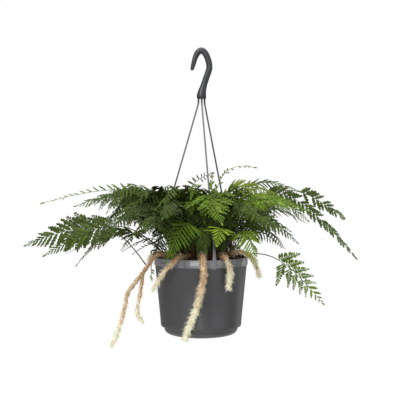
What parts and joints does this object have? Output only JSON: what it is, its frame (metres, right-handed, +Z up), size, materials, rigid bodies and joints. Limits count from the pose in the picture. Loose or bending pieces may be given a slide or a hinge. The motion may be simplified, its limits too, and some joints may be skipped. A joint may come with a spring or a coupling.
{
  "type": "hanging potted fern",
  "caption": "Hare's-foot fern with arching triangular fronds and furry rhizomes over the rim of a dark grey hanging pot with saucer, three thin arms and a hook",
  "frame": {"origin": "the hang point, on the inner top of the hook's bend, 304.6 mm above the pot's rim", "axes": "+Z up along the pot's axis; +X to the right, across the hook's opening, which lies in the XZ plane; -Y to the front"},
  "size_m": [0.4964, 0.3904, 0.4443],
  "materials": {
    "pot_plastic": "dark grey moulded polypropylene, satin wall and a shinier, paler rim band",
    "hanger_plastic": "dark blue-grey moulded plastic, satin",
    "potting_mix": "rough brown-black bark and fibre",
    "rhizome_fur": "dense tan fur of thin scales, cream to pale green at the growing tips",
    "frond_dark": "leathery dark green leaf with a soft gloss",
    "frond_bright": "fresh bright green leaf with a soft gloss",
    "frond_olive": "young olive to yellow-green leaf"
  },
  "bodies": {
    "root": {"hanger_hook": "hanger_plastic", "hanger_arm_front": "hanger_plastic", "hanger_arm_left": "hanger_plastic", "hanger_arm_right": "hanger_plastic", "pot": "pot_plastic", "saucer": "pot_plastic", "potting_mix": "potting_mix", "rhizome_left_long": "rhizome_fur", "rhizome_left_short": "rhizome_fur", "rhizome_front": "rhizome_fur", "rhizome_front_right": "rhizome_fur", "rhizome_right": "rhizome_fur", "rhizome_far_left": "rhizome_fur", "rhizome_back_left": "rhizome_fur", "rhizome_back": "rhizome_fur", "rhizome_back_right": "rhizome_fur", "frond_left_top": "frond_bright", "frond_left_upper": "frond_dark", "frond_left_big": "frond_dark", "frond_left_mid": "frond_dark", "frond_left_low": "frond_dark", "frond_left_thin": "frond_dark", "frond_left_small": "frond_dark", "frond_left_tiny": "frond_dark", "frond_front_left_upper": "frond_dark", "frond_front_left_lower": "frond_dark", "frond_front_left_hanging": "frond_bright", "frond_front_dark": "frond_dark", "frond_front_broad": "frond_bright", "frond_front_lime": "frond_bright", "frond_front_right_long": "frond_bright", "frond_front_right_dark": "frond_dark", "frond_front_right_hanging": "frond_bright", "frond_right_dark": "frond_dark", "frond_right_thin": "frond_dark", "frond_right_feathery": "frond_dark", "frond_right_long": "frond_dark", "frond_right_long_upper": "frond_dark", "frond_right_top": "frond_dark", "frond_right_olive": "frond_olive", "frond_right_hanging": "frond_bright", "frond_top_sparse": "frond_olive", "frond_top_young": "frond_dark", "frond_top_bright": "frond_bright", "frond_left_inner": "frond_dark", "frond_front_left_inner": "frond_dark", "frond_front_right_inner": "frond_dark", "frond_right_inner": "frond_dark", "frond_back_top": "frond_dark", "frond_back_right": "frond_dark", "frond_back": "frond_dark", "frond_back_left": "frond_dark", "frond_back_far_left": "frond_dark", "frond_left_back": "frond_dark", "frond_right_back": "frond_dark", "frond_back_low": "frond_dark", "frond_back_left_low": "frond_dark", "frond_back_right_low": "frond_dark", "frond_left_back_low": "frond_dark"}
  },
  "joints": []
}
